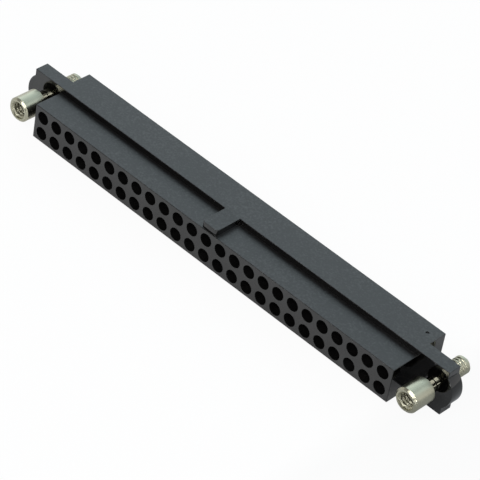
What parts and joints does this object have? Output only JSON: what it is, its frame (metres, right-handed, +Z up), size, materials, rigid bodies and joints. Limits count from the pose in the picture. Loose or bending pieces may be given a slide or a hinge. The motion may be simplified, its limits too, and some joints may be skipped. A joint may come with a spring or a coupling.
{
  "type": "rectangular connector",
  "caption": "Slim two-row rectangular connector housing with round cavities, a central key rib and a captive jackscrew in each end ear.",
  "frame": {"origin": "centre of the cavity grid on the front (mating) face", "axes": "+X along the rows, +Y from the front face to the rear, +Z up"},
  "size_m": [0.06, 0.0088, 0.0054],
  "materials": {
    "moulding": "fine satin moulding",
    "screw_metal": "turned, bright"
  },
  "bodies": {
    "housing": {"housing": "moulding"},
    "jackscrew_left": {"jackscrew_left": "screw_metal"},
    "jackscrew_right": {"jackscrew_right": "screw_metal"}
  },
  "joints": [
    {"name": "jackscrew_left_turn", "type": "hinge", "parent": "housing", "child": "jackscrew_left", "pos_m": [-0.02745, 0, 0], "axis": [0, 1, 0], "continuous": true},
    {"name": "jackscrew_right_turn", "type": "hinge", "parent": "housing", "child": "jackscrew_right", "pos_m": [0.02745, 0, 0], "axis": [0, 1, 0], "continuous": true}
  ]
}
